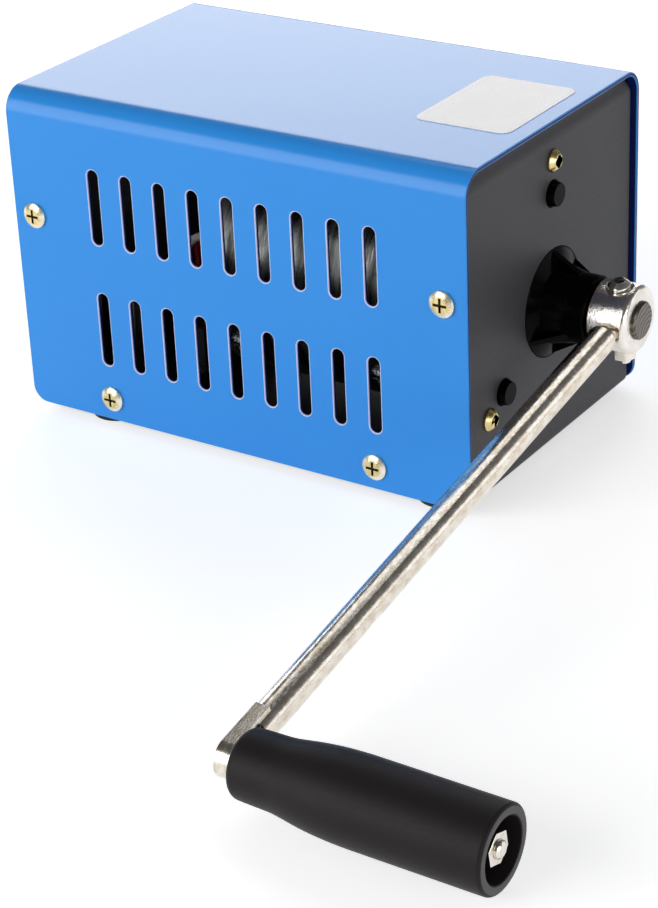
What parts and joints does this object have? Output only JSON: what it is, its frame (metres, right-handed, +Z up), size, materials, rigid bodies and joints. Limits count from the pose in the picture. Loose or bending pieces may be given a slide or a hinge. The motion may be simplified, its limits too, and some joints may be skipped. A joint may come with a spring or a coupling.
{
  "type": "hand crank generator",
  "caption": "Portable hand crank generator: a vented blue sheet-metal box with a plated crank, a turning handle, planetary gears and a generator inside.",
  "frame": {"origin": "on the surface that it stands on, under the middle of the box (feet bottoms at z = 0)", "axes": "+X along the box towards the crank, +Y across it, away from the side seen in the picture, +Z up"},
  "size_m": [0.223, 0.2305, 0.0926],
  "materials": {
    "blue_paint": "satin",
    "black_paint": "satin",
    "zinc_screws": "plated",
    "rubber": "matt",
    "label_film": "matt",
    "black_moulding": "gloss",
    "bronze": "sintered",
    "die_cast": "cast",
    "dark_steel": "satin",
    "steel": "turned",
    "gear_nylon": "matt",
    "laminations": "laminated",
    "copper_enamel": "varnished",
    "magnet": "plated",
    "nickel": "polished",
    "handle_plastic": "satin",
    "board": "satin",
    "white_nylon": "matt",
    "socket_shell": "plated",
    "black_plastic": "satin",
    "lamp_lens": "gloss",
    "green_terminal": "satin",
    "red_wire": "matt",
    "yellow_wire": "matt",
    "plain_aluminium": "extruded"
  },
  "bodies": {
    "generator": {"cover": "blue_paint", "chassis": "black_paint", "cover_screws": "zinc_screws", "rubber_feet": "rubber", "label": "label_film", "gearbox_cover": "black_moulding", "crank_bush_front": "bronze", "crank_bush_rear": "bronze", "gearbox_screws": "zinc_screws", "gearbox_housing": "die_cast", "rotor_bush_front": "bronze", "generator_can": "dark_steel", "can_screws": "steel", "end_bell": "die_cast", "rotor_bush_rear": "bronze", "stator_core": "laminations", "stator_coils": "copper_enamel", "circuit_board": "board", "board_standoffs": "white_nylon", "board_screws": "steel", "usb_socket": "socket_shell", "dc_socket": "black_plastic", "indicator_lamp": "lamp_lens", "terminal_block": "green_terminal", "phase_wire_white": "white_nylon", "phase_wire_red": "red_wire", "phase_wire_yellow": "yellow_wire", "heat_sink": "plain_aluminium", "rectifier": "black_plastic", "capacitors": "black_plastic", "choke": "copper_enamel"},
    "crank": {"crank_shaft": "steel", "hub": "nickel", "hub_screw": "nickel", "hub_washer": "nickel", "hub_nut": "nickel", "crank_arm": "nickel", "handle_axle": "nickel", "inner_washer": "nickel", "outer_washer": "nickel", "handle_nut": "nickel", "carrier_1": "steel", "planet_pins_1": "steel"},
    "handle": {"handle": "handle_plastic"},
    "planet_1a": {"planet_1a": "gear_nylon"},
    "planet_1b": {"planet_1b": "gear_nylon"},
    "planet_1c": {"planet_1c": "gear_nylon"},
    "second_carrier": {"sun_1": "steel", "carrier_2": "steel", "planet_pins_2": "steel"},
    "planet_2a": {"planet_2a": "gear_nylon"},
    "planet_2b": {"planet_2b": "gear_nylon"},
    "planet_2c": {"planet_2c": "gear_nylon"},
    "rotor": {"sun_2": "steel", "rotor_shaft": "steel", "rotor_core": "laminations", "rotor_magnets": "magnet"}
  },
  "joints": [
    {"name": "crank_spin", "type": "hinge", "parent": "generator", "child": "crank", "pos_m": [0.0886, 0, 0.0428], "axis": [1, 0, 0], "continuous": true},
    {"name": "handle_spin", "type": "hinge", "parent": "crank", "child": "handle", "pos_m": [0.1222, -0.1742, 0.01146], "axis": [1, 0, 0], "continuous": true},
    {"name": "planet_1a_spin", "type": "hinge", "parent": "crank", "child": "planet_1a", "pos_m": [0.0564, 0.01688, 0.0428], "axis": [1, 0, 0], "continuous": true},
    {"name": "planet_1b_spin", "type": "hinge", "parent": "crank", "child": "planet_1b", "pos_m": [0.0564, -0.00844, 0.05741], "axis": [1, 0, 0], "continuous": true},
    {"name": "planet_1c_spin", "type": "hinge", "parent": "crank", "child": "planet_1c", "pos_m": [0.0564, -0.00844, 0.02819], "axis": [1, 0, 0], "continuous": true},
    {"name": "second_carrier_spin", "type": "hinge", "parent": "generator", "child": "second_carrier", "pos_m": [0.0508, 0, 0.0428], "axis": [1, 0, 0], "continuous": true},
    {"name": "planet_2a_spin", "type": "hinge", "parent": "second_carrier", "child": "planet_2a", "pos_m": [0.0452, 0.01688, 0.0428], "axis": [1, 0, 0], "continuous": true},
    {"name": "planet_2b_spin", "type": "hinge", "parent": "second_carrier", "child": "planet_2b", "pos_m": [0.0452, -0.00844, 0.05741], "axis": [1, 0, 0], "continuous": true},
    {"name": "planet_2c_spin", "type": "hinge", "parent": "second_carrier", "child": "planet_2c", "pos_m": [0.0452, -0.00844, 0.02819], "axis": [1, 0, 0], "continuous": true},
    {"name": "rotor_spin", "type": "hinge", "parent": "generator", "child": "rotor", "pos_m": [0.012, 0, 0.0428], "axis": [1, 0, 0], "continuous": true}
  ],
  "couplings": [
    {"joint": "planet_1a_spin", "follows": "crank_spin", "ratio": -2.8},
    {"joint": "planet_1b_spin", "follows": "crank_spin", "ratio": -2.8},
    {"joint": "planet_1c_spin", "follows": "crank_spin", "ratio": -2.8},
    {"joint": "second_carrier_spin", "follows": "crank_spin", "ratio": 4.5},
    {"joint": "planet_2a_spin", "follows": "crank_spin", "ratio": -12.6},
    {"joint": "planet_2b_spin", "follows": "crank_spin", "ratio": -12.6},
    {"joint": "planet_2c_spin", "follows": "crank_spin", "ratio": -12.6},
    {"joint": "rotor_spin", "follows": "crank_spin", "ratio": 20.25}
  ]
}
